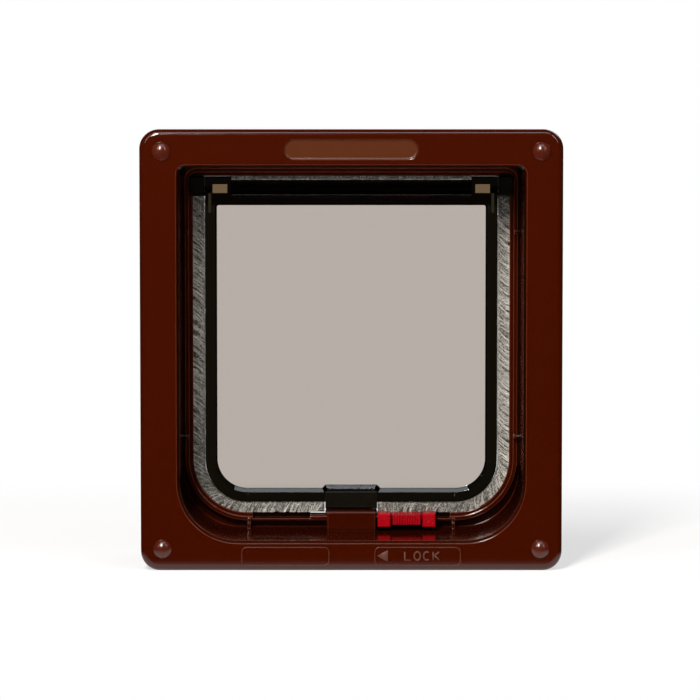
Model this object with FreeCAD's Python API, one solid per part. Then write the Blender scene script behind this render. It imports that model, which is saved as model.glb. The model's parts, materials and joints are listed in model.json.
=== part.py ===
import FreeCAD, Part
import math
import os

from FreeCAD import Vector

# Cat flap for a door: two flanged frames that telescope through the door and are
# clamped by four long screws, a swinging clear flap sealed by brush strips, a pair
# of magnets that close it and a sliding lock.
# X runs to the right, Y away from the room, Z up. Depths below count from the room
# side face of the inner frame, and the finished pieces are moved back by half the
# overall depth, so that the origin lies under the middle. All sizes in millimetres.

# Both frames
overall_depth = 64.0
flange_width = 198.0
flange_height = 207.2
flange_corner = 9.0
flange_depth = 7.0
flange_edge = 3.0
flange_wall = 2.0
rib_thickness = 1.2
rib_pitch = 44.0
rib_set_back = 1.5
outer_flange_inset = 2.2
outer_flange_bevel = 1.6

# Tunnel through the door
side_rail = 18.35
low_rail = 14.15
top_rail = 17.7
tunnel_low_corner = 27.4
tunnel_high_corner = 3.0
collar_wall = 1.6
mouth_bevel = 1.4
sleeve_wall = 1.6
sleeve_reach = 22.0
sleeve_clearance = 0.25
collar_end_gap = 0.4
outer_lip = 5.0

# Ledge ring at the far end of the tunnel
ring_set_back = 7.0
ring_depth = 10.0
ring_side = 4.75
ring_low = 7.45
ring_high = 5.9
ring_low_corner = 26.0
ring_high_corner = 2.0
ring_wall = 1.8
ring_edge = 0.3
ring_trench_depth = 6.0
ring_trench_height = 30.0
ring_step_depth = 0.8
ring_inner_step = 2.0
ring_outer_step = 3.75
gusset_width = 1.4
gusset_reach = 2.0
gusset_rise = 2.6
gusset_gap = 1.0
gusset_above_corner = 16.7
gusset_below_ceiling = 32.7
side_notch_depth = 1.2

# Brush seals
seal_depth = 6.0
seal_side = 5.45
seal_low = 4.7
seal_high = 1.5
seal_high_seat = 1.5
brush_gap = 0.3

# Flap
flap_corner = 20.4
flap_thickness = 5.0
window_thickness = 2.0
window_corner = 14.5
window_high_corner = 1.0
window_bevel = 1.85
rim_side = 5.65
rim_low = 6.4
rim_high = 7.6
rim_bump_half = 14.0
rim_bump_rise = 1.6
pivot_drop = 6.4
barrel_radius = 4.6
ear_length = 12.7
ear_top_gap = 0.15
ear_foot = 2.0
ear_window_depth = 0.5
ear_window_inset = 1.9
ear_window_length = 7.2
ear_window_low = 1.9
ear_window_high = 2.5

# Hinge pins and their bearing blocks
pin_radius = 1.5
pin_seat = 3.3
pin_clearance = 0.05
pin_end_gap = 0.5
pin_chamfer = 0.4
block_gap = 0.2
block_width = 7.0
block_height = 9.6
block_proud = 1.0
block_rear_wall = 1.0
block_edge = 0.6
block_bore_wall = 1.6
block_pad = 1.8

# Magnet holder on the flap
holder_width = 25.0
holder_height = 8.4
holder_drop = 3.0
holder_depth = 9.5
holder_chamfer = 0.6
holder_edge = 0.5
notch_width = 23.0
notch_height = 4.6
flap_magnet_width = 8.4
flap_magnet_height = 7.2
flap_magnet_depth = 5.2
flap_magnet_inset = 1.2
magnet_clearance = 0.1

# Magnet housing on the tunnel floor
housing_width = 23.3
housing_height = 9.2
housing_depth = 11.0
housing_wall = 1.5
housing_edge = 0.5
housing_clearance = 0.2

# Lock slide
lock_travel = 6.6
slide_depth = 11.85
slide_low = 1.95
slide_block_height = 6.4
slide_block_width = 6.2
slide_block_gap = 1.0
slide_start_gap = 0.95
slide_edge = 0.35
slide_bar_depth = 2.4
grip_width = 13.3
grip_height = 4.9
grip_drop = 0.35
grip_set_back = 0.3
grip_ribs = 11
grip_groove_share = 0.45
grip_groove_depth = 0.7
slot_start = 19.7
slot_end = 47.5
slot_sill = 4.55
neck_height = 2.2
slide_clearance = 0.15
neck_offset = 14.1
neck_width = 10.0
track_depth = 3.4
track_wall = 1.2
post_width = 2.8
post_offset = 7.0
post_side_room = 0.6
post_top_room = 0.6
post_reach = 2.6

# Screws and their covers
screw_inset = 10.2
screw_radius = 2.0
screw_hole_clearance = 0.25
screw_end_gap = 1.5
head_radius = 3.6
head_height = 2.2
head_slot_width = 0.9
head_slot_depth = 0.8
head_seat = 3.2
counterbore_radius = 4.0
boss_wall = 1.5
outer_boss_radius = 5.0
dome_radius = 4.5
dome_height = 2.5
dome_bands = 2
cap_plug = 0.8
cap_clearance = 0.05
outer_boss_rise = 2.5
outer_boss_skin = 1.3

# Bare plate above the opening
plate_length = 62.5
plate_height = 9.5
plate_from_top = 9.25
plate_depth = 0.6
plate_slope = 0.7

# Places that follow from the sizes above
half_width = flange_width / 2.0
tunnel_half = half_width - side_rail
tunnel_floor = low_rail
tunnel_ceiling = flange_height - top_rail
collar_end = overall_depth - outer_lip - collar_end_gap
ring_back = overall_depth - ring_set_back
ring_front = ring_back - ring_depth
ring_half = tunnel_half - ring_side
ring_floor = tunnel_floor + ring_low
ring_ceiling = tunnel_ceiling - ring_high
flap_middle = ring_front + ring_depth / 2.0
flap_half = ring_half - seal_side - brush_gap
flap_bottom = ring_floor + seal_low + brush_gap
pivot_height = ring_ceiling - pivot_drop
barrel_half = flap_half - ear_length
ear_radius = pivot_drop - ear_top_gap
block_inner = flap_half + block_gap
block_outer = block_inner + block_width
block_bottom = ring_ceiling - block_height
block_front = ring_front - block_proud
block_back = ring_back - block_rear_wall
holder_bottom = flap_bottom - holder_drop
holder_half = holder_width / 2.0
housing_half = housing_width / 2.0
slide_back = ring_front - slide_clearance
slide_front = slide_back - slide_depth
slide_bottom = tunnel_floor + slide_low
slide_left = housing_half + slide_start_gap
slot_bottom = tunnel_floor + slot_sill
neck_bottom = slot_bottom + slide_clearance
neck_top = neck_bottom + neck_height
track_front = flap_middle - track_depth / 2.0
track_back = flap_middle + track_depth / 2.0
post_back = track_back - slide_clearance
post_front = track_front + slide_clearance
post_room_top = holder_bottom + post_reach + post_top_room
gusset_offset = slot_end + gusset_gap + gusset_width / 2.0


def outline(half, low, high, low_radius, high_radius, depth):
    """Upright closed wire with rounded corners, symmetric about the middle plane."""
    corners = [
        (half - low_radius, low + low_radius, low_radius, -90.0),
        (half - high_radius, high - high_radius, high_radius, 0.0),
        (-half + high_radius, high - high_radius, high_radius, 90.0),
        (-half + low_radius, low + low_radius, low_radius, 180.0),
    ]
    arcs = []
    for x, z, radius, start in corners:
        points = []
        for step in (0.0, 45.0, 90.0):
            angle = math.radians(start + step)
            points.append(Vector(x + radius * math.cos(angle), depth, z + radius * math.sin(angle)))
        arcs.append(points)
    edges = []
    for index, points in enumerate(arcs):
        edges.append(Part.Arc(*points).toShape())
        following = arcs[(index + 1) % len(arcs)]
        edges.append(Part.LineSegment(points[2], following[0]).toShape())
    return Part.Wire(edges)


def panel(half, low, high, low_radius, high_radius, start, end):
    """Slab of that outline between two depths."""
    wire = outline(half, low, high, low_radius, high_radius, start)
    return Part.Face(wire).extrude(Vector(0, end - start, 0))


def brick(x_range, y_range, z_range):
    corner = Vector(x_range[0], y_range[0], z_range[0])
    return Part.makeBox(x_range[1] - x_range[0], y_range[1] - y_range[0], z_range[1] - z_range[0], corner)


def tunnel_panel(spread, start, end):
    """Slab of the tunnel's outline, grown by spread on every side."""
    return panel(
        tunnel_half + spread, tunnel_floor - spread, tunnel_ceiling + spread,
        tunnel_low_corner + spread, tunnel_high_corner + spread, start, end,
    )


def ring_panel(spread, start, end):
    """Slab of the ledge ring's inner outline, grown by spread on every side."""
    return panel(
        ring_half + spread, ring_floor - spread, ring_ceiling + spread,
        ring_low_corner + spread, ring_high_corner + spread, start, end,
    )


def edges_at(shape, depth):
    """Edges that lie wholly in the plane at this depth."""
    found = []
    for edge in shape.Edges:
        box = edge.BoundBox
        if abs(box.YMin - depth) < 0.001 and abs(box.YMax - depth) < 0.001:
            found.append(edge)
    return found


def edges_inside(shape, depth, half, low, high):
    """Edges in the plane at this depth that lie within an opening's outline."""
    slack = 0.001
    found = []
    for edge in edges_at(shape, depth):
        box = edge.BoundBox
        if box.XMax < half + slack and box.XMin > -half - slack:
            if box.ZMax < high + slack and box.ZMin > low - slack:
                found.append(edge)
    return found


def mirrored(shape):
    return shape.mirror(Vector(0, 0, 0), Vector(1, 0, 0))


def screw_places():
    places = []
    for x in (screw_inset - half_width, half_width - screw_inset):
        for z in (flange_height - screw_inset, screw_inset):
            places.append((x, z))
    return places


def rod(radius, x, z, start, end):
    """Round rod along the depth."""
    return Part.makeCylinder(radius, end - start, Vector(x, start, z), Vector(0, 1, 0))


def dome(x, z, radius, height, bands):
    """Ball segment that bulges towards the room from the front face, turned in a few flat bands."""
    ball = (radius ** 2 + height ** 2) / (2.0 * height)
    foot_angle = math.asin((ball - height) / ball)
    profile = [Vector(x, 0, z)]
    for index in range(bands + 1):
        angle = foot_angle + (math.pi / 2.0 - foot_angle) * index / (bands + 0.5)
        profile.append(Vector(x + ball * math.cos(angle), ball - height - ball * math.sin(angle), z))
    profile.append(Vector(x, profile[-1].y, z))
    face = Part.Face(Part.makePolygon(profile + profile[:1]))
    return face.revolve(Vector(x, 0, z), Vector(0, 1, 0), 360.0)


def flange_panel(inset, start, end):
    """Slab of a flange's outline, standing on its lower edge and smaller by inset elsewhere."""
    corner = flange_corner
    return panel(half_width - inset, 0.0, flange_height - inset, corner, corner, start, end)


def mouth_edges(slab, face):
    return edges_inside(slab, face, tunnel_half, tunnel_floor, tunnel_ceiling)


def flange_hollow(face, back, inset, core_spread):
    """Space behind the flange's skin, between its rim wall and the tunnel's core."""
    step = flange_wall if back > face else -flange_wall
    near = min(face + step, back)
    far = max(face + step, back)
    corner = flange_corner - flange_wall
    half = half_width - inset - flange_wall
    high = flange_height - inset - flange_wall
    space = panel(half, flange_wall, high, corner, corner, near, far)
    return space.cut(tunnel_panel(core_spread, near, far))


def flange_ribs(hollow, face, back):
    """Stiffening ribs across the hollow, set back from the door's surface."""
    direction = 1.0 if back > face else -1.0
    end = back - direction * rib_set_back
    span = (min(face, end), max(face, end))
    ribs = []
    across = int(half_width / rib_pitch)
    for index in range(-across, across + 1):
        x = index * rib_pitch
        if abs(x) < tunnel_half - tunnel_low_corner + collar_wall + sleeve_wall:
            thick = (x - rib_thickness / 2.0, x + rib_thickness / 2.0)
            ribs.append(brick(thick, span, (0.0, flange_height)))
    middle = (tunnel_floor + tunnel_ceiling) / 2.0
    for index in range(-across, across + 1):
        z = middle + index * rib_pitch
        if tunnel_floor + tunnel_low_corner < z < tunnel_ceiling - tunnel_high_corner:
            thick = (z - rib_thickness / 2.0, z + rib_thickness / 2.0)
            ribs.append(brick((-half_width, half_width), span, thick))
    return [rib.common(hollow) for rib in ribs]


def ring_gussets():
    """Small webs in the angle between the tunnel's walls and the front of the ring."""
    start = ring_front - gusset_reach
    webs = []
    for x in (-gusset_offset, gusset_offset):
        webs.append(brick(
            (x - gusset_width / 2.0, x + gusset_width / 2.0), (start, ring_front + 1.0),
            (tunnel_floor - 1.0, tunnel_floor + gusset_rise),
        ))
        webs.append(brick(
            (x - gusset_width / 2.0, x + gusset_width / 2.0), (ring_front, ring_front + ring_trench_depth + 1.0),
            (tunnel_floor - 1.0, ring_floor - ring_outer_step + 1.0),
        ))
    low = tunnel_floor + tunnel_low_corner + gusset_above_corner
    for z in (low, tunnel_ceiling - gusset_below_ceiling):
        web = brick(
            (tunnel_half - gusset_rise, tunnel_half + 1.0), (start, ring_front + 1.0),
            (z - gusset_width / 2.0, z + gusset_width / 2.0),
        )
        webs.extend([web, mirrored(web)])
    return webs


def make_interior_frame():
    hollow = flange_hollow(0.0, flange_depth, 0.0, collar_wall)
    parts = flange_ribs(hollow, 0.0, flange_depth)
    for x, z in screw_places():
        parts.append(rod(counterbore_radius + boss_wall, x, z, 0.5, flange_depth).common(hollow))
    slab = flange_panel(0.0, 0.0, flange_depth)
    slab = slab.makeFillet(flange_edge, edges_at(slab, 0.0))
    slab = slab.cut(tunnel_panel(0.0, -1.0, flange_depth + 1.0))
    body = slab.makeChamfer(mouth_bevel, mouth_edges(slab, 0.0)).cut(hollow)

    collar = tunnel_panel(collar_wall, flange_wall, collar_end)
    collar = collar.cut(tunnel_panel(0.0, 0.0, collar_end + 1.0))
    ring = tunnel_panel(collar_wall, ring_front, ring_back)
    ring = ring.cut(ring_panel(0.0, ring_front - 1.0, ring_back + 1.0))
    for spread, steps in ((ring_outer_step, 1), (ring_inner_step, 2)):
        floor = ring_front + steps * ring_step_depth
        ring = ring.cut(ring_panel(spread, ring_front - 1.0, floor))
    step_floor = ring_front + 2.0 * ring_step_depth
    ring = ring.makeChamfer(ring_edge, edges_inside(ring, step_floor, ring_half, ring_floor, ring_ceiling))
    # Below the steps the ring stands clear of the tunnel, with a deep trench between them that
    # only the gussets bridge
    trench_floor = ring_front + ring_trench_depth
    trench = tunnel_panel(0.0, ring_front - 1.0, trench_floor)
    trench = trench.cut(ring_panel(ring_outer_step, ring_front - 2.0, trench_floor + 1.0))
    low_part = brick(
        (-half_width, half_width), (ring_front - 2.0, trench_floor + 1.0),
        (0.0, tunnel_floor + ring_trench_height),
    )
    ring = ring.cut(trench.common(low_part))
    body = body.fuse([collar, ring] + parts + ring_gussets())

    # The ring is cored from the far side, leaving solid corners for the hinge blocks and a
    # wall behind the trench, the slots and the lock's track
    core = tunnel_panel(0.0, step_floor + ring_wall, ring_back + 1.0)
    core = core.cut(ring_panel(ring_wall, ring_front, ring_back + 2.0))
    core = core.cut(brick(
        (-half_width, half_width), (ring_front, trench_floor + ring_wall),
        (0.0, tunnel_floor + ring_trench_height + ring_wall),
    ))
    corner_x = block_inner - block_pad
    corner = brick(
        (corner_x, tunnel_half + 1.0), (ring_front, ring_back + 2.0),
        (block_bottom - block_pad, tunnel_ceiling + 1.0),
    )
    slot_back = brick(
        (-slot_end - ring_wall, slot_end + ring_wall), (ring_front, track_back + track_wall),
        (tunnel_floor - 1.0, ring_floor + 1.0),
    )
    core = core.cut([corner, mirrored(corner), slot_back])
    body = body.cut(core)

    pocket = brick(
        (block_inner, block_outer), (ring_front - 1.0, block_back), (block_bottom, ring_ceiling),
    )
    top_seat = brick(
        (-barrel_half, barrel_half),
        (flap_middle - seal_depth / 2.0, flap_middle + seal_depth / 2.0),
        (ring_ceiling - 1.0, ring_ceiling + seal_high_seat),
    )
    slot = brick((slot_start, slot_end), (ring_front - 1.0, track_back), (slot_bottom, ring_floor + 1.0))
    track = brick(
        (post_offset - post_side_room, slot_end), (track_front, track_back),
        (slot_bottom, ring_floor + 1.0),
    )
    side_notch = brick(
        (holder_half, slot_start), (ring_front - 1.0, ring_back + 1.0),
        (ring_floor - side_notch_depth, ring_floor + 1.0),
    )
    cuts = [pocket, mirrored(pocket), top_seat, slot, mirrored(slot), track]
    cuts.extend([side_notch, mirrored(side_notch)])

    for x, z in screw_places():
        cuts.append(rod(screw_radius + screw_hole_clearance, x, z, -1.0, flange_depth + 1.0))
        cuts.append(rod(counterbore_radius, x, z, -1.0, head_seat))

    # Sunk plate with sloping sides
    plate_middle = flange_height - plate_from_top
    wires = []
    for share in (1.0, -0.5):
        inset = share * plate_slope
        half_height = plate_height / 2.0 - inset
        radius = half_height - 0.01
        wires.append(outline(
            plate_length / 2.0 - inset, plate_middle - half_height, plate_middle + half_height,
            radius, radius, share * plate_depth,
        ))
    plate = Part.makeLoft(wires, True, True)
    cuts.append(plate)
    return body.cut(cuts).removeSplitter()


def make_exterior_frame():
    face = overall_depth
    back = overall_depth - flange_depth
    sleeve_spread = collar_wall + sleeve_clearance
    hollow = flange_hollow(face, back, outer_flange_inset, sleeve_spread + sleeve_wall)
    parts = flange_ribs(hollow, face, back)
    for x, z in screw_places():
        parts.append(rod(outer_boss_radius, x, z, back, face - 0.5).common(hollow))
        parts.append(rod(outer_boss_radius, x, z, face - 1.0, face + outer_boss_rise))
    sleeve = tunnel_panel(sleeve_spread + sleeve_wall, back - sleeve_reach, face - flange_wall)
    slab = flange_panel(outer_flange_inset, back, face)
    slab = slab.makeChamfer(outer_flange_bevel, edges_at(slab, face))
    slab = slab.cut(tunnel_panel(0.0, back - 1.0, face + 1.0))
    slab = slab.makeChamfer(mouth_bevel, mouth_edges(slab, face))
    body = slab.cut(hollow).fuse([sleeve] + parts)
    cuts = [
        tunnel_panel(sleeve_spread, back - sleeve_reach - 1.0, face - outer_lip),
        tunnel_panel(0.0, face - outer_lip - 1.0, face - mouth_bevel),
    ]
    for x, z in screw_places():
        cuts.append(rod(screw_radius, x, z, back - 1.0, face + outer_boss_rise - outer_boss_skin))
    return body.cut(cuts).removeSplitter()


def make_flap_panel():
    front = flap_middle - flap_thickness / 2.0
    back = flap_middle + flap_thickness / 2.0
    plate = panel(flap_half, flap_bottom, pivot_height, flap_corner, window_high_corner, front, back)
    barrel = Part.makeCylinder(
        barrel_radius, 2.0 * barrel_half, Vector(-barrel_half, flap_middle, pivot_height), Vector(1, 0, 0),
    )

    # The ears' tops are round about the pivot, so that they turn close under the ring
    ear_round = Part.makeCylinder(
        ear_radius, ear_length, Vector(barrel_half, flap_middle, pivot_height), Vector(1, 0, 0),
    )
    ear_slab = brick(
        (barrel_half, flap_half), (front, back), (pivot_height - ear_foot, pivot_height + ear_radius + 1.0),
    )
    ear = ear_round.common(ear_slab)
    body = plate.fuse([barrel, ear, mirrored(ear)])

    # The window is sunk from both faces, with bevelled sides
    window_half = flap_half - rim_side
    window_low = flap_bottom + rim_low
    window_high = pivot_height - rim_high
    cuts = []
    for side in (-1.0, 1.0):
        face = flap_middle + side * flap_thickness / 2.0
        floor = flap_middle + side * window_thickness / 2.0
        wires = []
        for share in (0.0, 1.0, 1.2):
            grow = window_bevel * share
            depth = floor + (face - floor) * share
            wires.append(outline(
                window_half + grow, window_low - grow, window_high + grow,
                window_corner + grow, window_high_corner + grow, depth,
            ))
        cuts.append(Part.makeLoft([wires[0], wires[2]], True, True))

        sunk = sorted((face - side * ear_window_depth, face + side))
        ear_start = barrel_half + ear_window_inset
        ear_window = brick(
            (ear_start, ear_start + ear_window_length), sunk,
            (pivot_height - ear_window_low, pivot_height + ear_window_high),
        )
        cuts.extend([ear_window, mirrored(ear_window)])

    # Over the magnet holder the rim rises a little into the window, bevelled in the same way
    bumps = []
    for side in (-1.0, 1.0):
        wires = []
        for depth, drop in ((window_thickness / 2.0, 0.0), (flap_thickness / 2.0, window_bevel)):
            half = rim_bump_half - drop / 2.0
            top = window_low + rim_bump_rise - drop
            y = flap_middle + side * depth
            points = [
                Vector(-half, y, top - rim_bump_rise), Vector(half, y, top - rim_bump_rise),
                Vector(half - rim_bump_rise, y, top), Vector(rim_bump_rise - half, y, top),
            ]
            wires.append(Part.makePolygon(points + points[:1]))
        bumps.append(Part.makeLoft(wires, True, True))

    notch = brick(
        (-notch_width / 2.0, notch_width / 2.0), (front - 1.0, back + 1.0),
        (flap_bottom - 1.0, flap_bottom + notch_height),
    )
    seat_floor = Vector(flap_half - pin_seat, flap_middle, pivot_height)
    pin_hole = Part.makeCylinder(pin_radius, pin_seat + 1.0, seat_floor, Vector(1, 0, 0))
    sunk_body = body.cut(cuts).fuse(bumps)
    return sunk_body.cut([notch, pin_hole, mirrored(pin_hole)]).removeSplitter()


def make_hinge_pin():
    """Right hand pin, pressed into the flap's ear and free to turn in its block."""
    start = flap_half - pin_seat
    end = block_outer - block_bore_wall - pin_end_gap
    axis_start = Vector(start, flap_middle, pivot_height)
    pin = Part.makeCylinder(pin_radius, end - start, axis_start, Vector(1, 0, 0))
    rims = [edge for edge in pin.Edges if edge.BoundBox.XLength < 0.001]
    return pin.makeChamfer(pin_chamfer, rims)


def make_hinge_block():
    """Right hand bearing block, which drops into its pocket in the ring."""
    block = brick((block_inner, block_outer), (block_front, block_back), (block_bottom, ring_ceiling))
    block = block.makeChamfer(block_edge, edges_at(block, block_front))
    bore = Part.makeCylinder(
        pin_radius + pin_clearance, block_width - block_bore_wall + 1.0,
        Vector(block_inner - 1.0, flap_middle, pivot_height), Vector(1, 0, 0),
    )
    return block.cut(bore)


def seal_band(spread):
    """Slab inside the seal, as wide as the flap and its running gap."""
    return panel(
        flap_half + brush_gap, flap_bottom - brush_gap, ring_ceiling + spread,
        flap_corner + brush_gap, ring_high_corner, flap_middle - seal_depth, flap_middle + seal_depth,
    )


def make_seal_side():
    """Right hand brush strip: down the side, round the corner and along the bottom."""
    front = flap_middle - seal_depth / 2.0
    back = flap_middle + seal_depth / 2.0
    band = ring_panel(0.0, front, back).cut(seal_band(5.0))
    start = holder_half + 2.0 * brush_gap
    keep = brick((start, half_width), (front, back), (0.0, block_bottom))

    # Niche that the lock's post slides into when it lets the flap go
    niche_end = post_offset + lock_travel + post_width + post_side_room
    niche = brick((start - 1.0, niche_end), (track_front, track_back), (ring_floor - 1.0, post_room_top))
    return band.common(keep).cut(niche)


def make_seal_top():
    return brick(
        (-barrel_half, barrel_half),
        (flap_middle - seal_depth / 2.0, flap_middle + seal_depth / 2.0),
        (ring_ceiling - seal_high, ring_ceiling + seal_high_seat),
    )


def flap_magnet_box(clearance):
    left = -notch_width / 2.0 + flap_magnet_inset - clearance
    half_depth = flap_magnet_depth / 2.0 + clearance
    low = holder_bottom + 2.0 * magnet_clearance
    return brick(
        (left, left + flap_magnet_width + 2.0 * clearance),
        (flap_middle - half_depth, flap_middle + half_depth),
        (low - 3.0 * clearance, low + flap_magnet_height + clearance),
    )


def make_magnet_holder(flap):
    """Housing that straddles the flap's lower rim, with the magnet's and the lock's pockets."""
    front = flap_middle - holder_depth / 2.0
    back = flap_middle + holder_depth / 2.0
    top = holder_bottom + holder_height
    points = [
        Vector(-holder_half, front, holder_bottom),
        Vector(holder_half, front, holder_bottom),
        Vector(holder_half, front, top - holder_chamfer),
        Vector(holder_half - holder_chamfer, front, top),
        Vector(-holder_half + holder_chamfer, front, top),
        Vector(-holder_half, front, top - holder_chamfer),
    ]
    face = Part.Face(Part.makePolygon(points + points[:1]))
    block = face.extrude(Vector(0, back - front, 0))
    block = block.makeChamfer(holder_edge, edges_at(block, front) + edges_at(block, back))

    # Locked, the lock's post stands in this pocket, and it slides out through the right hand side
    pocket = brick(
        (post_offset - post_side_room, holder_half + 1.0), (track_front, track_back),
        (holder_bottom - 1.0, post_room_top),
    )
    return block.cut([flap, pocket, flap_magnet_box(magnet_clearance)])


def make_magnet_housing():
    """Cover on the tunnel floor, cored from below for the bar magnet."""
    front = ring_front - housing_depth
    top = tunnel_floor + housing_height
    block = brick((-housing_half, housing_half), (front, ring_front), (tunnel_floor, top))
    top_edges = [edge for edge in block.Edges if edge.BoundBox.ZMin > top - 0.001]
    uprights = [edge for edge in edges_at(block, front) if edge.BoundBox.ZLength > housing_height / 2.0]
    block = block.makeChamfer(housing_edge, uprights + top_edges)
    core = brick(
        (-housing_half + housing_wall, housing_half - housing_wall),
        (front + housing_wall, ring_front - housing_wall),
        (tunnel_floor - 1.0, top - housing_wall),
    )
    return block.cut(core)


def make_frame_magnet():
    inset = housing_wall + housing_clearance
    front = ring_front - housing_depth
    return brick(
        (-housing_half + inset, housing_half - inset), (front + inset, ring_front - inset),
        (tunnel_floor, tunnel_floor + housing_height - inset),
    )


def make_lock_slider():
    """One moulding: two plain blocks and a ribbed grip on a bar, with the bolt behind."""
    high = slide_bottom + slide_block_height
    first = slide_left
    grip_left = first + slide_block_width + slide_block_gap
    grip_right = grip_left + grip_width
    second = grip_right + slide_block_gap
    end = second + slide_block_width
    solids = []
    for left in (first, second):
        block = brick((left, left + slide_block_width), (slide_front, slide_back), (slide_bottom, high))
        solids.append(block.makeChamfer(slide_edge, edges_at(block, slide_front)))

    grip_high = high - grip_drop
    grip_low = grip_high - grip_height
    grip_front = slide_front + grip_set_back
    grip = brick((grip_left, grip_right), (grip_front, slide_back), (grip_low, grip_high))
    pitch = grip_width / grip_ribs
    grooves = []
    for index in range(1, grip_ribs):
        middle = grip_left + index * pitch
        half_groove = pitch * grip_groove_share / 2.0
        grooves.append(brick(
            (middle - half_groove, middle + half_groove),
            (slide_front, grip_front + grip_groove_depth),
            (grip_low - 1.0, grip_high + 1.0),
        ))
        grooves.append(brick(
            (middle - half_groove, middle + half_groove), (slide_front, slide_back - slide_bar_depth),
            (grip_high - grip_groove_depth, grip_high + 1.0),
        ))
    solids.append(grip.cut(grooves))

    solids.append(brick((first, end), (slide_back - slide_bar_depth, slide_back), (neck_bottom, neck_top)))
    neck_left = slide_left + neck_offset
    neck_right = neck_left + neck_width
    solids.append(brick((neck_left, neck_right), (slide_back - 1.0, post_back), (neck_bottom, neck_top)))
    solids.append(brick((post_offset, neck_right), (post_front, post_back), (neck_bottom, neck_top)))
    post_top = holder_bottom + post_reach
    post_sides = (post_offset, post_offset + post_width)
    solids.append(brick(post_sides, (post_front, post_back), (neck_bottom, post_top)))
    return solids[0].fuse(solids[1:]).removeSplitter()


def make_screw(x, z):
    start = head_seat - head_height
    head = rod(head_radius, x, z, start, head_seat)
    slot = brick(
        (x - head_radius, x + head_radius), (start - 1.0, start + head_slot_depth),
        (z - head_slot_width / 2.0, z + head_slot_width / 2.0),
    )
    end = overall_depth + outer_boss_rise - outer_boss_skin - screw_end_gap
    shank = rod(screw_radius, x, z, head_seat - 1.0, end)
    return head.fuse(shank).cut(slot).removeSplitter()


def make_cap(x, z):
    """Domed cover with a short plug that snaps into the counterbore over the screw's head."""
    plug = rod(counterbore_radius - cap_clearance, x, z, 0.0, cap_plug)
    return dome(x, z, dome_radius, dome_height, dome_bands).fuse(plug).removeSplitter()


def save(name, shape):
    moved = shape.copy()
    moved.translate(Vector(0, -overall_depth / 2.0, 0))
    solids = moved.Solids
    for solid in solids:
        if not solid.isValid():
            raise ValueError(name + " is not a valid solid")
    print(name, len(solids), round(moved.Volume, 2))
    body = solids[0] if len(solids) == 1 else Part.makeCompound(solids)
    body.exportStep("parts/" + name + ".step")


def main():
    os.makedirs("parts", exist_ok=True)
    save("interior_frame", make_interior_frame())
    save("exterior_frame", make_exterior_frame())

    flap = make_flap_panel()
    save("flap_panel", flap)
    save("flap_magnet_holder", make_magnet_holder(flap))
    save("flap_magnet", flap_magnet_box(0.0))

    right_parts = {
        "hinge_pin": make_hinge_pin(),
        "hinge_block": make_hinge_block(),
        "seal_strip": make_seal_side(),
    }
    for name, shape in right_parts.items():
        save(name + "_right", shape)
        save(name + "_left", mirrored(shape))
    save("seal_strip_top", make_seal_top())

    save("magnet_housing", make_magnet_housing())
    save("frame_magnet", make_frame_magnet())
    save("lock_slider", make_lock_slider())

    screws = []
    for number, (x, z) in enumerate(screw_places(), start=1):
        screws.append(make_screw(x, z))
        save("screw_cap_" + str(number), make_cap(x, z))
    save("clamp_screws", Part.makeCompound(screws))


main()
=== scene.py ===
import json
import math

import bpy
import numpy as np
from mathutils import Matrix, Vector


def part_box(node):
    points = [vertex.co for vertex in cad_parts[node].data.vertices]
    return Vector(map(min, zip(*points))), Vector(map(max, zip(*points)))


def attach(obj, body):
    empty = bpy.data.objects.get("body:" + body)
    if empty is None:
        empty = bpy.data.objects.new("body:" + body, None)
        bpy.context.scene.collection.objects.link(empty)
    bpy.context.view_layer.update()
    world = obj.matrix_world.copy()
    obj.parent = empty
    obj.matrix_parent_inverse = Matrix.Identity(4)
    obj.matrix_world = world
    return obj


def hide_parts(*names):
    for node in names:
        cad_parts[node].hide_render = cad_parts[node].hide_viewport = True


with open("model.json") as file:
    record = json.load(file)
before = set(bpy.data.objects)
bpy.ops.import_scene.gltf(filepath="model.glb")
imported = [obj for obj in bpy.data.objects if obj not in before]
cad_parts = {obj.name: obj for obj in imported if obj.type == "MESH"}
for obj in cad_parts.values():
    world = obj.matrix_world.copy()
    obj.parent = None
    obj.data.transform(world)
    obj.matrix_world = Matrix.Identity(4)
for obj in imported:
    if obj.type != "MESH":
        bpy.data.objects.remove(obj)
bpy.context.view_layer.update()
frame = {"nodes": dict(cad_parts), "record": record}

print("frame loaded:", len(frame["nodes"]), "nodes")

mm = 0.001
nodes = frame["nodes"]
record = frame["record"]
scene = bpy.context.scene
scene.view_settings.view_transform = "Standard"


# Small helpers

# sRGB hex text to a linear colour
def hexColour(text):
    channels = [int(text[i:i + 2], 16) / 255 for i in (1, 3, 5)]
    return [c / 12.92 if c <= 0.04045 else ((c + 0.055) / 1.055) ** 2.4 for c in channels] + [1.0]


# Adds a node: settings go by property or socket name, links by socket name or number
def addNode(tree, kind, settings=None, links=None):
    node = tree.nodes.new(kind)
    for key, value in (settings or {}).items():
        if isinstance(key, str) and hasattr(node, key):
            setattr(node, key, value)
        else:
            node.inputs[key].default_value = value
    for key, source in (links or {}).items():
        tree.links.new(source, node.inputs[key])
    return node


# One step of arithmetic between sockets or plain numbers
def calculate(tree, operation, *values):
    node = addNode(tree, "ShaderNodeMath", {"operation": operation})
    for index, value in enumerate(values):
        if isinstance(value, (int, float)):
            node.inputs[index].default_value = value
        else:
            tree.links.new(value, node.inputs[index])
    return node.outputs[0]


# Blends two colours, each a list of channels or a socket, by a factor from a socket
def blendColours(tree, factor, first, second):
    settings, links = {"data_type": "RGBA"}, {0: factor}
    for index, colour in ((6, first), (7, second)):
        (settings if isinstance(colour, list) else links)[index] = colour
    return addNode(tree, "ShaderNodeMix", settings, links).outputs[2]


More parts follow.
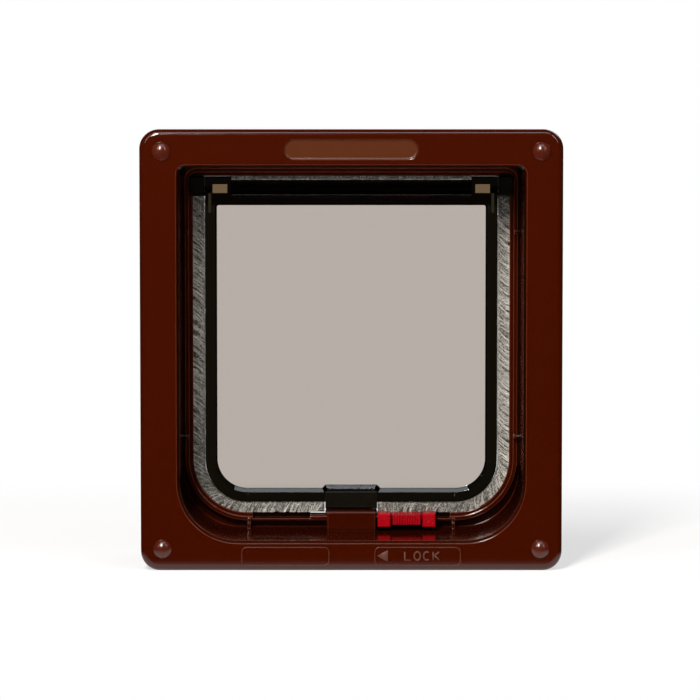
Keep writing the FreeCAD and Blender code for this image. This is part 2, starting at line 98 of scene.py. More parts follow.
def newMaterial(name):
    material = bpy.data.materials.new(name)
    material.use_nodes = True
    tree = material.node_tree
    tree.nodes.clear()
    shader = addNode(tree, "ShaderNodeBsdfPrincipled")
    addNode(tree, "ShaderNodeOutputMaterial", {}, {"Surface": shader.outputs[0]})
    coordinates = addNode(tree, "ShaderNodeTexCoord").outputs["Object"]
    return material, tree, shader, coordinates


def setSockets(shader, values):
    for key, value in values.items():
        shader.inputs[key].default_value = value


# 1 inside a box in object coordinates, 0 outside
def boxMask(tree, coordinates, low, high):
    middle = [(a + b) / 2 for a, b in zip(low, high)]
    half = [(b - a) / 2 for a, b in zip(low, high)]
    away = addNode(tree, "ShaderNodeVectorMath", {"operation": "SUBTRACT", 1: middle}, {0: coordinates})
    away = addNode(tree, "ShaderNodeVectorMath", {"operation": "ABSOLUTE"}, {0: away.outputs[0]})
    parts = addNode(tree, "ShaderNodeSeparateXYZ", {}, {0: away.outputs[0]})
    inside = [calculate(tree, "LESS_THAN", parts.outputs[index], half[index]) for index in range(3)]
    return calculate(tree, "MULTIPLY", calculate(tree, "MULTIPLY", inside[0], inside[1]), inside[2])


# How far a point lies outside a rounded rectangle whose lower corners are rounder than its upper ones:
# distance = length(max(across, 0)) + min(max(acrossX, acrossZ), 0) - radius, where across is how far the
# point lies past the start of the corner
def outlineDistance(tree, x, z, half, low, high, lowCorner, highCorner):
    middle = (low + high) / 2
    upper = calculate(tree, "GREATER_THAN", z, middle)
    radius = calculate(tree, "SUBTRACT", lowCorner, calculate(tree, "MULTIPLY", upper, lowCorner - highCorner))
    fromMiddle = calculate(tree, "ABSOLUTE", calculate(tree, "SUBTRACT", z, middle))
    acrossX = calculate(tree, "ADD", calculate(tree, "SUBTRACT", calculate(tree, "ABSOLUTE", x), half), radius)
    acrossZ = calculate(tree, "ADD", calculate(tree, "SUBTRACT", fromMiddle, (high - low) / 2), radius)
    outX = calculate(tree, "MAXIMUM", acrossX, 0.0)
    outZ = calculate(tree, "MAXIMUM", acrossZ, 0.0)
    squares = calculate(tree, "MULTIPLY_ADD", outX, outX, calculate(tree, "MULTIPLY", outZ, outZ))
    inner = calculate(tree, "MINIMUM", calculate(tree, "MAXIMUM", acrossX, acrossZ), 0.0)
    return calculate(tree, "SUBTRACT", calculate(tree, "ADD", calculate(tree, "SQRT", squares), inner), radius)


# A mesh from numpy points and lists of faces, riding on a body of the frame
def makePiece(name, points, faces, material, body, shade=None):
    mesh = bpy.data.meshes.new(name)
    mesh.from_pydata(np.asarray(points, float).tolist(), [], faces)
    mesh.update()
    mesh.polygons.foreach_set("use_smooth", np.ones(len(mesh.polygons), bool))
    if shade is not None:
        attribute = mesh.attributes.new("shade", "FLOAT", "POINT")
        attribute.data.foreach_set("value", np.asarray(shade, np.float32))
    piece = bpy.data.objects.new(name, mesh)
    scene.collection.objects.link(piece)
    mesh.materials.append(material)
    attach(piece, body)
    return piece


# Quads of a grid of points, row by row. around joins the last column to the first, ended joins
# the last row to the first.
def gridFaces(rows, columns, around=False, ended=False):
    row = np.arange(rows if ended else rows - 1)[:, None]
    column = np.arange(columns if around else columns - 1)[None, :]
    nextRow = (row + 1) % rows
    nextColumn = (column + 1) % columns
    corners = [row * columns + column, row * columns + nextColumn,
               nextRow * columns + nextColumn, nextRow * columns + column]
    return np.stack(corners, axis=-1).reshape(-1, 4)


# Faces that close the first and the last row of a grid that goes round
def endCaps(rows, columns):
    return [list(range(columns))[::-1], list(range((rows - 1) * columns, rows * columns))]


# Several meshes as one: points, faces moved up by the points before them
def joinMeshes(meshes):
    points, faces, count = [], [], 0
    for somePoints, someFaces in meshes:
        points.append(np.asarray(somePoints, float).reshape(-1, 3))
        faces += [[index + count for index in face] for face in someFaces]
        count += len(points[-1])
    return np.vstack(points), faces


# Places read from the frame

flangeLow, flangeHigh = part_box("interior_frame")
flapLow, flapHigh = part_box("flap_panel")
sealLow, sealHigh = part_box("seal_strip_right")
frontFace = flangeLow.y


# Materials of the hard parts

# Edge radius and highlight width in millimetres. The turn pair is the cosine between the rounded and the flat
# normal at which the painted edge highlight starts and is full.
brownAbs = {"light": "#340a00", "dark": "#300800", "roughness": (0.07, 0.12), "edgeRadius": 0.65, "shine": 0.5,
            # The tunnel colour is painted shade on the tunnel's walls; plateLight is the grained dish's own
            # colour
            "plateLight": "#46200b", "plateGrain": 0.12, "tunnel": "#0a0200",
            # A painted highlight: edges are lightened towards this colour
            "highlightColour": "#744330", "highlightWidth": 0.42, "highlightShare": 0.5, "highlightTurn": (0.99, 0.94)}
grainedAbs = {"light": "#4c2417", "dark": "#441d12", "roughness": (0.5, 0.6), "edgeRadius": 0.2, "shine": 0.4}
capAbs = {"light": "#451608", "dark": "#3d1206", "roughness": (0.18, 0.24), "edgeRadius": 0.2, "shine": 0.5}
blackAbs = {"light": "#14120c", "dark": "#0e0c08", "roughness": (0.1, 0.18), "edgeRadius": 0.3, "shine": 0.5}
redAcetal = {"light": "#9a000e", "dark": "#8e000b", "roughness": (0.22, 0.32), "edgeRadius": 0.25, "shine": 0.15}

# Sizes of the skin's patterns and the heights of its relief
skin = {"cloud": 70 * mm, "haze": 9 * mm, "wave": 14 * mm, "waveRise": 0.05 * mm, "waveStrength": 0.25,
        "grain": 0.8 * mm, "grainRise": 0.06 * mm, "grainStrength": 0.8}

# Painted shade on the tunnel's walls: the outline of the tunnel, the depths between which its walls are painted
# dark, how far to each side of the outline that reaches, and the share of dark below and above two heights
tunnel = {"half": 80.65 * mm, "low": 14.15 * mm, "high": 189.5 * mm,
          "lowCorner": 27.4 * mm, "highCorner": 3.0 * mm, "from": 0.5 * mm, "to": 47.2 * mm,
          "margin": 1.1 * mm, "reach": 2.8 * mm, "shadeHeights": (20 * mm, 45 * mm), "shadeShares": (0.3, 0.9)}

# The shallow dish above the opening
plate = {"halfLength": 30.9 * mm, "halfHeight": 4.5 * mm, "fromTop": 9.25 * mm, "depth": 0.3 * mm}


# Along an edge the colour is lightened as a painted highlight, for the light that rounded edges catch. The edge
# is where the rounded normal turns away from the flat one, so the mask runs over their dot product.
def paintedEdgeHighlight(tree, colour, values):
    rounded = addNode(tree, "ShaderNodeBevel", {"samples": 4, "Radius": values["highlightWidth"] * mm})
    flat = addNode(tree, "ShaderNodeNewGeometry").outputs["Normal"]
    same = addNode(tree, "ShaderNodeVectorMath", {"operation": "DOT_PRODUCT"}, {0: rounded.outputs[0], 1: flat})
    start, full = values["highlightTurn"]
    mask = addNode(tree, "ShaderNodeMapRange", {
        "From Min": start, "From Max": full, "To Max": values["highlightShare"]}, {"Value": same.outputs["Value"]})
    return blendColours(tree, mask.outputs[0], colour, hexColour(values["highlightColour"]))


# Cloudy noise with a pattern of the given size
def noise(tree, coordinates, size, detail):
    return addNode(tree, "ShaderNodeTexNoise", {"Scale": 1 / size, "Detail": detail},
                   {"Vector": coordinates}).outputs[0]


# Share of painted shade on the tunnel's walls: 0 away from them, and less near the floor than higher up
def paintedWallShade(tree, coordinates):
    parts = addNode(tree, "ShaderNodeSeparateXYZ", {}, {0: coordinates})
    x, y, z = parts.outputs[0], parts.outputs[1], parts.outputs[2]
    margin = tunnel["margin"]
    away = outlineDistance(tree, x, z, tunnel["half"] - margin, tunnel["low"] + margin, tunnel["high"] - margin,
                           tunnel["lowCorner"], tunnel["highCorner"])
    mask = calculate(tree, "MULTIPLY", calculate(tree, "GREATER_THAN", away, 0.0),
                     calculate(tree, "LESS_THAN", away, tunnel["reach"]))
    for operation, edge in (("GREATER_THAN", tunnel["from"]), ("LESS_THAN", tunnel["to"])):
        mask = calculate(tree, "MULTIPLY", mask, calculate(tree, operation, y, frontFace + edge))
    (fromHeight, toHeight), (fromShare, toShare) = tunnel["shadeHeights"], tunnel["shadeShares"]
    share = addNode(tree, "ShaderNodeMapRange", {
        "From Min": fromHeight, "From Max": toHeight, "To Min": fromShare, "To Max": toShare}, {"Value": z})
    return calculate(tree, "MULTIPLY", mask, share.outputs[0])


# Injection moulded plastic in high gloss: a deep colour under a wet looking skin with a faint
# waviness, with a painted highlight along its edges where the values give one. grainBox bounds a dish that is
# left with a fine grain, so it looks lighter and duller, and comes with painted shade on the tunnel walls.
def glossPlastic(name, values, grainBox=None):
    material, tree, shader, coordinates = newMaterial(name)
    cloud = noise(tree, coordinates, skin["cloud"], 2.0)
    colour = blendColours(tree, cloud, hexColour(values["dark"]), hexColour(values["light"]))
    smooth, dull = values["roughness"]
    rough = addNode(tree, "ShaderNodeMapRange", {"To Min": smooth, "To Max": dull},
                    {"Value": noise(tree, coordinates, skin["haze"], 4.0)}).outputs[0]
    rounding = addNode(tree, "ShaderNodeBevel", {"samples": 12, "Radius": values["edgeRadius"] * mm})
    wave = noise(tree, coordinates, skin["wave"], 1.0)
    normal = addNode(tree, "ShaderNodeBump", {"Strength": skin["waveStrength"], "Distance": skin["waveRise"]},
                     {"Height": wave, "Normal": rounding.outputs[0]}).outputs[0]
    if "highlightColour" in values:
        # Painted highlight along the edges
        colour = paintedEdgeHighlight(tree, colour, values)
    if grainBox:
        # Painted shade: the tunnel's walls are darkened in the colour, more so higher up
        colour = blendColours(tree, paintedWallShade(tree, coordinates), colour, hexColour(values["tunnel"]))
        mask = boxMask(tree, coordinates, *grainBox)
        height = calculate(tree, "MULTIPLY", noise(tree, coordinates, skin["grain"], 3.0), mask)
        normal = addNode(tree, "ShaderNodeBump", {
            "Strength": skin["grainStrength"], "Distance": skin["grainRise"]},
            {"Height": height, "Normal": normal}).outputs[0]
        colour = blendColours(tree, mask, colour, hexColour(values["plateLight"]))
        rough = calculate(tree, "ADD", rough, calculate(tree, "MULTIPLY", mask, values["plateGrain"]))
    tree.links.new(colour, shader.inputs["Base Color"])
    tree.links.new(rough, shader.inputs["Roughness"])
    tree.links.new(normal, shader.inputs["Normal"])
    setSockets(shader, {"IOR": 1.5, "Specular IOR Level": values["shine"]})
    return material


# Colour, roughness and marks per metre along each axis
metals = {
    "drawn steel": ("#c9c8c4", (0.15, 0.3), (200, 4000, 4000)),
    "zinc plated steel": ("#b9bab4", (0.25, 0.42), (4000, 200, 4000)),
    "ground ferrite": ("#4a4a4c", (0.45, 0.6), (900, 900, 900)),
}


# Metal with fine marks along its length, as drawing, plating or grinding leaves it
def metal(name):
    colour, roughness, marksPerMetre = metals[name]
    material, tree, shader, coordinates = newMaterial(name)
    stretched = addNode(tree, "ShaderNodeMapping", {"Scale": marksPerMetre}, {"Vector": coordinates})
    marks = addNode(tree, "ShaderNodeTexNoise", {"Scale": 1.0, "Detail": 3.0}, {"Vector": stretched.outputs[0]})
    rough = addNode(tree, "ShaderNodeMapRange", {"To Min": roughness[0], "To Max": roughness[1]},
                    {"Value": marks.outputs[0]})
    bump = addNode(tree, "ShaderNodeBump", {"Strength": 0.3, "Distance": 0.01 * mm},
                   {"Height": marks.outputs[0]})
    tree.links.new(rough.outputs[0], shader.inputs["Roughness"])
    tree.links.new(bump.outputs[0], shader.inputs["Normal"])
    setSockets(shader, {"Metallic": 1.0, "Base Color": hexColour(colour)})
    return material


# Smoked acrylic flap: clear in its thin window, nearly black in the thick rim, where a dark tint adds painted
# shade to what the thickness absorbs. Absorbed is per millimetre, for red, green and blue.

# The rim and rail tints are painted shade, darker than their thickness alone makes them
acrylic = {"absorbed": (0.345, 0.395, 0.445), "rimPaintedShade": "#34342c", "stripTint": "#6a6a5e",
           "railPaintedShade": "#1d1c17", "earTint": "#d1bd9e", "ior": 1.49, "roughness": 0.015, "edgeRadius": 0.2 * mm}
window = {"rimSide": 5.65 * mm, "rimLow": 6.4 * mm, "rimHigh": 13.85 * mm,
          "corner": 14.5 * mm, "highCorner": 1.0 * mm}
window["half"] = flapHigh.x - window["rimSide"]
window["low"] = flapLow.z + window["rimLow"]
window["high"] = flapHigh.z - window["rimHigh"]
ear = {"length": 12.7 * mm, "inset": 1.9 * mm, "window": 7.2 * mm, "pivot": flapHigh.z - 6.25 * mm,
       "low": 1.9 * mm, "high": 2.5 * mm}

# Lighter strips below the ears, from the flap's side and from its top
strip = {"inset": (1.6 * mm, 3.0 * mm), "drop": (8.2 * mm, 17.5 * mm)}


# Box round the thin place in one ear of the flap's rail
def earBox(side):
    start = flapHigh.x - ear["length"] + ear["inset"]
    ends = sorted((side * start, side * (start + ear["window"])))
    return (ends[0], -1.0, ear["pivot"] - ear["low"]), (ends[1], 1.0, ear["pivot"] + ear["high"])


# Box round the lighter strip below each ear
def stripBox(side):
    ends = sorted(side * (flapHigh.x - inset) for inset in strip["inset"])
    return (ends[0], -1.0, flapHigh.z - strip["drop"][1]), (ends[1], 1.0, flapHigh.z - strip["drop"][0])


# Moulded acrylic with a smoky tint that grows with its thickness. The rim, the rail above the window,
# the thin places in the ears and the strips below them each have their own tint; the rim's and the rail's dark
# tints are painted shade.
def smokedAcrylic():
    material, tree, shader, coordinates = newMaterial("smoked acrylic")
    parts = addNode(tree, "ShaderNodeSeparateXYZ", {}, {0: coordinates})
    x, z = parts.outputs[0], parts.outputs[2]
    outside = outlineDistance(tree, x, z, window["half"], window["low"], window["high"], window["corner"],
                              window["highCorner"])
    clear = calculate(tree, "LESS_THAN", outside, 0.0)
    # Painted shade: the rim and the rail above the window are tinted dark
    tint = blendColours(tree, calculate(tree, "GREATER_THAN", z, window["high"]),
                        hexColour(acrylic["rimPaintedShade"]), hexColour(acrylic["railPaintedShade"]))
    masks = [(clear, "#ffffff")]
    for side in (1, -1):
        masks.append((boxMask(tree, coordinates, *earBox(side)), acrylic["earTint"]))
        masks.append((boxMask(tree, coordinates, *stripBox(side)), acrylic["stripTint"]))
    for mask, colour in masks:
        tint = blendColours(tree, mask, tint, hexColour(colour))
    tree.links.new(tint, shader.inputs["Base Color"])
    edge = addNode(tree, "ShaderNodeBevel", {"samples": 4, "Radius": acrylic["edgeRadius"]})
    tree.links.new(edge.outputs[0], shader.inputs["Normal"])
    setSockets(shader, {"Transmission Weight": 1.0, "IOR": acrylic["ior"], "Roughness": acrylic["roughness"]})
    density = max(acrylic["absorbed"]) / mm
    passed = [1 - amount / mm / density for amount in acrylic["absorbed"]]
    volume = addNode(tree, "ShaderNodeVolumeAbsorption", {"Color": passed + [1.0], "Density": density})
    output = [node for node in tree.nodes if node.type == "OUTPUT_MATERIAL"][0]
    tree.links.new(volume.outputs[0], output.inputs["Volume"])
    return material


# Nylon pile: dull grey fibres, each a little lighter or darker than its neighbours, with a fine mottling

pile = {"light": "#f2eee6", "mid": "#bab6ad", "dark": "#3a3731", "midAt": 0.5, "speck": 0.75 * mm,
        "contrast": 1.3, "roughness": 0.6, "sheen": 0.2}


def nylonPile():
    material, tree, shader, coordinates = newMaterial("nylon pile")
    # The shade attribute holds each strand's own tone together with the brush's painted light and shade
    shade = addNode(tree, "ShaderNodeAttribute", {"attribute_name": "shade"})
    speck = noise(tree, coordinates, pile["speck"], 2.0)
    mottled = calculate(tree, "MULTIPLY_ADD", speck, pile["contrast"], -0.5 * pile["contrast"])
    mottled = calculate(tree, "ADD", shade.outputs["Fac"], mottled)
    ramp = addNode(tree, "ShaderNodeValToRGB", {}, {"Fac": mottled})
    ramp.color_ramp.elements[0].color = hexColour(pile["dark"])
    ramp.color_ramp.elements[1].color = hexColour(pile["light"])
    ramp.color_ramp.elements.new(pile["midAt"]).color = hexColour(pile["mid"])
    tree.links.new(ramp.outputs[0], shader.inputs["Base Color"])
    setSockets(shader, {"Roughness": pile["roughness"], "Sheen Weight": pile["sheen"], "Sheen Roughness": 0.4})
    return material


plateZ = flangeHigh.z - plate["fromTop"]
plateBox = ((-plate["halfLength"], frontFace + plate["depth"], plateZ - plate["halfHeight"]),
            (plate["halfLength"], frontFace + 4 * plate["depth"], plateZ + plate["halfHeight"]))
slotMaterials = {
    "brown_plastic": glossPlastic("gloss brown ABS", brownAbs, plateBox),
    "dark_plastic": glossPlastic("gloss black ABS", blackAbs),
    "red_plastic": glossPlastic("red acetal", redAcetal),
    "smoked_clear_plastic": smokedAcrylic(),
    "grey_pile": nylonPile(),
    "pin_steel": metal("drawn steel"),
    "screw_steel": metal("zinc plated steel"),
    "magnet": metal("ground ferrite"),
}
for part in record["subparts"]:
    mesh = nodes[part["node"]].data
    mesh.materials.clear()
    mesh.materials.append(slotMaterials[part["material_slot"]])
print("materials set")


# Brush pile: three rows of tufts on a packed root, in one long strip down the left side of the ring,
# along the bottom and up the right side, so all tufts lean the same way round

# Lengths of tufts and strands in millimetres. Rows and their spread are shares of the strip's depth.
brush = {"pitch": 0.8, "perTuft": 12, "radius": 0.1, "spread": 0.34, "tipSpread": 0.75, "overhang": 0.38,
         "rows": (0.14, 0.5, 0.86), "rowSpread": 0.14, "sideGap": 0.12, "steps": 4, "bend": 1.3, "curl": 0.14,
         "leanSide": 0.85, "leanLow": 0.5, "leanTop": 0.3, "leanAtMagnet": -0.4, "magnetReach": 12.0,
         "reachRight": 0.75, "reachLeft": 0.4, "seed": 7}

# How much tufts and single strands differ from each other: place as a share of the pitch, lean and rise
# as shares of the strip's height
uneven = {"place": 0.16, "tuftLean": 0.16, "tuftRise": 0.04, "lean": 0.05, "rise": 0.03, "meanRise": 0.97,
          "leastRise": 0.8, "tuftShade": 0.1, "shade": 0.2}

# Shades from 0 to 1: of all strands, then painted light and shade added in a tuft's middle and towards a
# strand's foot, on the root, over the top strip, and along the strips from the top to the magnet, at the places
# that the side strips' painted shade function names
tone = {"all": 0.28, "middle": 0.36, "foot": 0.25, "root": 0.05, "top": -0.45,
        "right": (-0.3, -0.22, 0.08, 0.12, 0.08, -0.22, -0.24, -0.18),
        "left": (-0.42, -0.36, 0.06, 0.06, -0.18, -0.32, -0.16, -0.06)}

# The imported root, in shares of the strip's height and in millimetres
root = {"share": 0.99, "gap": 0.5, "rows": 160, "columns": 16, "squareness": 0.5}

# The strip's section in millimetres: outer corner, height beside the flap and height under it
seal = {"corner": 26.0, "side": 5.45, "low": 4.7}

# Space in the right strip that the lock's post slides into
niche = {"end": 17.1 * mm, "halfDepth": 1.8 * mm, "rise": 3.3 * mm, "overlap": 0.4 * mm, "rows": 4}


# Point on the ring's wall, direction inwards and running direction at a distance from the top: straight
# down, a quarter circle, then straight along the bottom. side mirrors it.
def sidePath(distance, side):
    radius = seal["corner"] * mm
    down = sealHigh.z - sealLow.z - radius
    angle = np.clip((distance - down) / radius, 0, math.pi / 2)
    along = np.maximum(distance - down - radius * math.pi / 2, 0)
    x = sealHigh.x - radius + radius * np.cos(angle) - along
    z = sealHigh.z - np.minimum(distance, down) - radius * np.sin(angle)
    flip = np.array([side, 1.0])
    inward = np.stack([-np.cos(angle), np.sin(angle)], axis=-1)
    running = np.stack([-np.sin(angle), -np.cos(angle)], axis=-1)
    return np.stack([x, z], axis=-1) * flip, inward * flip, running * flip


def sideLengths():
    radius = seal["corner"] * mm
    down = sealHigh.z - sealLow.z - radius
    turn = radius * math.pi / 2
    return down, turn, down + turn + sealHigh.x - radius - sealLow.x


# The strip is higher beside the flap than under it and changes smoothly round the corner
def sideHeight(distance):
    down, turn, total = sideLengths()
    share = np.clip((distance - down) / turn, 0, 1)
    return (seal["side"] + (seal["low"] - seal["side"]) * share) * mm


# Lean of the tufts along the running direction, as a share of their height
def sideLean(distance, side):
    down, turn, total = sideLengths()
    lean = np.interp(distance, (down, down + turn), (brush["leanSide"], brush["leanLow"]))
    if side < 0:
        return lean
    turned = np.clip((distance - total + brush["magnetReach"] * mm) / (0.5 * brush["magnetReach"] * mm), 0, 1)
    return -(lean + (brush["leanAtMagnet"] - lean) * turned)


# Painted light and shade along the strip: the pile is darker at its top, where it turns into the corner and
# under the flap, where the ring and the flap shade it, and lighter between, where the lamps reach it
def sidePaintedLightAndShade(distance, side):
    down, turn, total = sideLengths()
    places = (0.0, 0.06 * down, 0.2 * down, 0.8 * down, down, down + 0.6 * turn, down + turn, total)
    return np.interp(distance, places, tone["right"] if side > 0 else tone["left"])


# The same for the short strip over the flap
def topPath(distance, side):
    low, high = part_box("seal_strip_top")
    point = np.stack([low.x + distance, np.full_like(distance, high.z)], axis=-1)
    inward = np.stack([np.zeros_like(distance), -np.ones_like(distance)], axis=-1)
    running = np.stack([np.ones_like(distance), np.zeros_like(distance)], axis=-1)
    return point, inward, running


def topHeight(distance):
    low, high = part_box("seal_strip_top")
    return np.full_like(distance, high.z - low.z)


def topLean(distance, side):
    return np.full_like(distance, brush["leanTop"])


# Painted shade: the whole top strip is darker, as it lies in the shade of the ring's top
def topPaintedShade(distance, side):
    return np.full_like(distance, tone["top"])


# True for the strands that would stand in the niche of the right strip
def nicheMask(centre, side, yLow, yHigh):
    x, y, z = centre[:, :, 0], centre[:, :, 1], centre[:, :, 2]
    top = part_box("flap_magnet_holder")[0].z + niche["rise"]
    inside = (np.abs(y - (yLow + yHigh) / 2) < niche["halfDepth"]) & (x < niche["end"]) & (z < top)
    return inside.any(axis=1) & (x.min(axis=1) > 0) & (side > 0)


# Tapered three-sided strands. A tuft stands every pitch along the path in three rows through the
# depth. Its strands start within the spread of its foot, draw together towards the tip, rise by the
# strip's height and lean along the path by a share of it: place = foot + inward * rise * s
# + running * lean * s^bend for s from 0 to 1, with a random curl between its ends. Tips stand closer
# together than feet, and reach beyond the strip's end by reach. No strand stands in the niche.
def makeStrands(path, side, length, heightAt, leanAt, paintedLightAndShadeAt, yLow, yHigh, reach, random):
    pitch, spread, sideGap = brush["pitch"] * mm, brush["spread"] * mm, brush["sideGap"] * mm
    depth = yHigh - yLow
    tufts = int((length + reach) / pitch)
    shift = 0.4 + np.array([0.0, 0.5, 0.0])  # the middle row stands half a pitch on
    place = (np.arange(tufts)[:, None] + shift[None, :]) * (length + reach) / (tufts + 0.2)
    place = place + random.normal(0, uneven["place"] * pitch, place.shape)
    row = np.broadcast_to((np.array(brush["rows"]) * depth + yLow)[None, :], place.shape)
    tuftShade = random.normal(0.0, uneven["tuftShade"], place.shape)
    tuftLean = random.normal(0.0, uneven["tuftLean"], place.shape)
    tuftRise = random.normal(0.0, uneven["tuftRise"], place.shape)
    foot, row, tuftShade, tuftLean, tuftRise = [
        np.repeat(values.reshape(-1), brush["perTuft"])
        for values in (place, row, tuftShade, tuftLean, tuftRise)]
    count = len(foot)
    aside = random.uniform(-1, 1, count) * spread
    deep = random.uniform(-1, 1, count) * brush["rowSpread"] * depth
    share = uneven["meanRise"] + tuftRise + random.normal(0, uneven["rise"], count)
    rise = (heightAt(foot) + brush["overhang"] * mm) * np.clip(share, uneven["leastRise"], 1.0)
    lean = (leanAt(foot, side) + tuftLean + random.normal(0, uneven["lean"], count)) * rise
    first = 0.05 * mm
    tipPlace = np.clip(foot + aside * brush["tipSpread"], first, length + reach)
    start = np.clip(tipPlace - lean + aside * (1 - brush["tipSpread"]), first, length + 0.5 * reach)
    lean = tipPlace - start
    origin, inward, running = path(start, side)
    steps = np.linspace(0, 1, brush["steps"])
    centre = np.zeros((count, len(steps), 3))
    curl = random.normal(0, brush["curl"] * mm, (2, count, len(steps))) * (steps > 0) * (steps < 1)
    flat = (origin[:, None, :] + inward[:, None, :] * (rise[:, None] * steps)[:, :, None]
            + running[:, None, :] * (lean[:, None] * steps ** brush["bend"] + curl[0])[:, :, None])
    centre[:, :, 0] = flat[:, :, 0]
    centre[:, :, 2] = flat[:, :, 1]
    y = row[:, None] + deep[:, None] * (1 - 0.5 * steps) + curl[1]
    centre[:, :, 1] = np.clip(y, yLow + sideGap, yHigh - sideGap)
    thick = brush["radius"] * mm * random.uniform(0.75, 1.25, count)
    angle = random.uniform(0, 2 * math.pi, count)[:, None] + np.arange(3)[None, :] * 2 * math.pi / 3
    across = np.stack([running[:, 0], np.zeros(count), running[:, 1]], axis=-1)
    offset = (np.cos(angle)[:, :, None] * across[:, None, :]
              + np.sin(angle)[:, :, None] * np.array([0.0, 1.0, 0.0]))
    taper = thick[:, None] * (1 - 0.5 * steps)[None, :]
    kept = ~nicheMask(centre, side, yLow, yHigh)
    points = (centre[:, :, None, :] + offset[:, None, :, :] * taper[:, :, None, None])[kept]
    base = np.arange(len(points))[:, None, None] * 3 * len(steps)
    sides = (gridFaces(len(steps), 3, around=True)[None] + base).reshape(-1, 4)
    tip = 3 * (len(steps) - 1) + np.arange(3)
    tips = (tip[None, None, :] + base).reshape(-1, 3)
    middle = 1 - np.abs(aside) / spread  # strands in the middle of a tuft catch more light
    # Painted light and shade: a tuft's middle is lighter, the tone along the strip follows where the lamps
    # reach, and tips are darker than feet
    shade = (tone["all"] + paintedLightAndShadeAt(foot, side) + tuftShade + tone["middle"] * middle
             + random.normal(0, uneven["shade"], count))
    shade = np.clip(shade[:, None] + tone["foot"] * (0.5 - steps[None, :] ** 2), 0, 1)[kept]
    return points.reshape(-1, 3), sides.tolist() + tips.tolist(), np.repeat(shade, 3, axis=1).reshape(-1)


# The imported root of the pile: a rounded bar carried along the path, so that no light shows through.
# Its section is a squared circle: up and out are cosine and sine raised to the squareness, with their
# signs kept.
def makeRoot(path, side, start, end, heightAt, yLow, yHigh, rows):
    distance = np.linspace(start, end, rows)
    origin, inward, running = path(distance, side)
    columns, power = root["columns"], root["squareness"]
    turn = np.linspace(0, 2 * math.pi, columns + 1)[:-1]
    up = 0.5 - 0.5 * np.sign(np.cos(turn)) * np.abs(np.cos(turn)) ** power
    out = np.sign(np.sin(turn)) * np.abs(np.sin(turn)) ** power
    height = heightAt(distance) * root["share"]
    points = np.zeros((rows, columns, 3))
    points[:, :, 0] = origin[:, 0:1] + inward[:, 0:1] * height[:, None] * up
    points[:, :, 2] = origin[:, 1:2] + inward[:, 1:2] * height[:, None] * up
    points[:, :, 1] = (yLow + yHigh) / 2 + ((yHigh - yLow) / 2 - root["gap"] * mm) * out
    return points.reshape(-1, 3), gridFaces(rows, columns, around=True).tolist() + endCaps(rows, columns)


# The right strip's root stops at the niche, with a thin bar in front of it and another behind it
def makeRoots(node, path, side, length, end, heightAt, low, high):
    if node != "seal_strip_right":
        return [makeRoot(path, side, 0, end, heightAt, low.y, high.y, root["rows"])]
    middle = (low.y + high.y) / 2
    overlap = niche["overlap"]
    opening = length - (niche["end"] - low.x)
    roots = [makeRoot(path, side, 0, opening, heightAt, low.y, high.y, root["rows"])]
    for near, far in ((low.y - overlap, middle - niche["halfDepth"] + overlap),
                      (middle + niche["halfDepth"] - overlap, high.y + overlap)):
        roots.append(makeRoot(path, side, opening - overlap, end, heightAt, near, far, niche["rows"]))
    return roots


def makeBrush(name, node, path, side, length, heightAt, leanAt, paintedLightAndShadeAt, reach, seed):
    low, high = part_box(node)
    random = np.random.default_rng(seed)
    points, faces, shade = makeStrands(path, side, length, heightAt, leanAt, paintedLightAndShadeAt, low.y, high.y,
                                       reach * mm, random)
    roots = makeRoots(node, path, side, length, length + 0.5 * reach * mm, heightAt, low, high)
    # Painted shade: the root is coloured dark, so the gaps between tufts read as shade
    shade = np.concatenate([shade] + [np.full(len(each[0]), tone["root"]) for each in roots])
    points, faces = joinMeshes([(points, faces)] + roots)
    piece = makePiece(name, points, faces, slotMaterials["grey_pile"], "frame", shade)
    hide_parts(node)


for word, side in (("right", 1), ("left", -1)):
    makeBrush("brush_" + word, "seal_strip_" + word, sidePath, side, sideLengths()[2], sideHeight, sideLean,
              sidePaintedLightAndShade, brush["reachRight"] if side > 0 else brush["reachLeft"], brush["seed"] + side)
topLow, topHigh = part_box("seal_strip_top")
makeBrush("brush_top", "seal_strip_top", topPath, 1, topHigh.x - topLow.x, topHeight, topLean, topPaintedShade,
          0.0, brush["seed"])
print("brush pile made")


# Screw caps: smooth domes over the screws' heads, in satin ABS

capMaterial = glossPlastic("satin brown ABS", capAbs)
cap = {"radius": 4.5, "height": 2.35, "plug": 3.9, "plugDepth": 0.7, "rows": 12, "columns": 56, "turn": 0.985}


# A ball segment on a short plug. Along the profile, radius = ball * cos(a) and rise = ball * sin(a)
# less the part of the ball behind the face, for a from the foot's angle to nearly 90 degrees. Returns
# the cap's middle as x and z.
def makeCap(node):
    low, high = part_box(node)
    radius, height = cap["radius"] * mm, cap["height"] * mm
    ball = (radius ** 2 + height ** 2) / (2 * height)
    angle = np.linspace(math.asin((ball - height) / ball), cap["turn"] * math.pi / 2, cap["rows"])
    around = np.concatenate([[cap["plug"] * mm, cap["plug"] * mm], ball * np.cos(angle)])
    rise = np.concatenate([[-cap["plugDepth"] * mm, 0.0], ball * np.sin(angle) - (ball - height)])
    turn = np.linspace(0, 2 * math.pi, cap["columns"] + 1)[:-1]
    points = np.zeros((len(around), len(turn), 3))
    points[:, :, 0] = (low.x + high.x) / 2 + around[:, None] * np.cos(turn)
    points[:, :, 2] = (low.z + high.z) / 2 + around[:, None] * np.sin(turn)
    points[:, :, 1] = frontFace - rise[:, None]
    faces = gridFaces(len(around), len(turn), around=True).tolist() + endCaps(len(around), len(turn))
    piece = makePiece(node + "_dome", points.reshape(-1, 3), faces, capMaterial, "frame")
    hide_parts(node)
    return (low.x + high.x) / 2, (low.z + high.z) / 2


